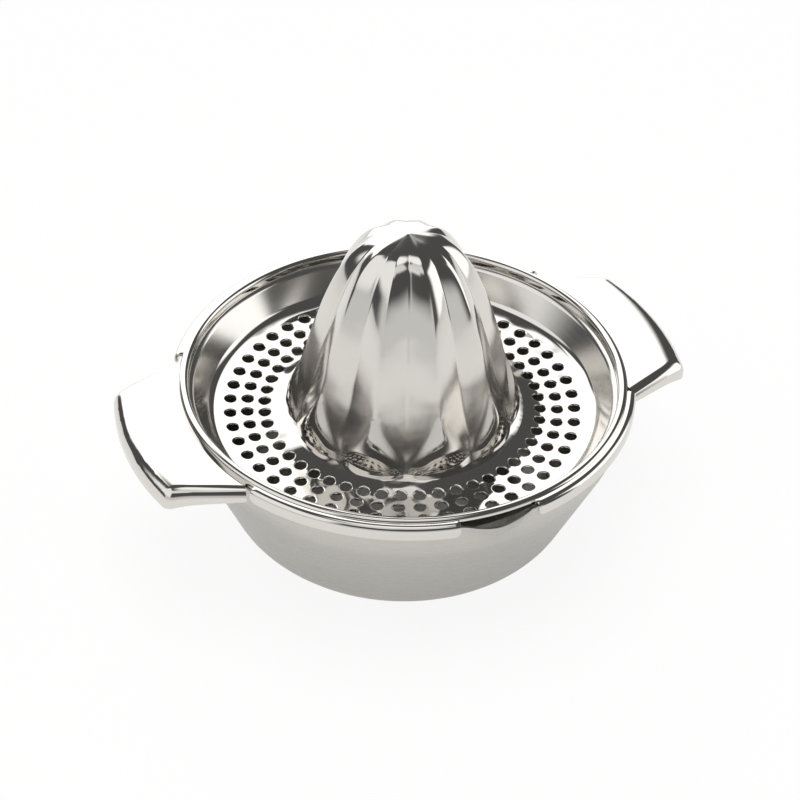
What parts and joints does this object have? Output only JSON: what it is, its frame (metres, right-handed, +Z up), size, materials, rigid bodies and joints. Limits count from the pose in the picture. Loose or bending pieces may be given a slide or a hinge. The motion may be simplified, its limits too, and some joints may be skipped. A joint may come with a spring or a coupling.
{
  "type": "citrus juicer",
  "caption": "Hand citrus juicer: a pressed steel top with a fluted reaming cone, a perforated straining plate and ear handles lies on a round bowl with a pouring lip.",
  "frame": {"origin": "centre of the bowl's flat base, on the table", "axes": "+Z up along the cone's axis, +X through the middle of a handle, -Y through the pouring lip"},
  "size_m": [0.1494, 0.1194, 0.0886],
  "materials": {
    "bowl_steel": "satin",
    "top_steel": "polished"
  },
  "bodies": {
    "bowl": {"bowl": "bowl_steel"},
    "juicer_top": {"juicer_top": "top_steel"}
  },
  "joints": [
    {"name": "lift_off", "type": "slide", "parent": "bowl", "child": "juicer_top", "axis": [0, 0, 1], "range_m": [0, 0.06]}
  ]
}
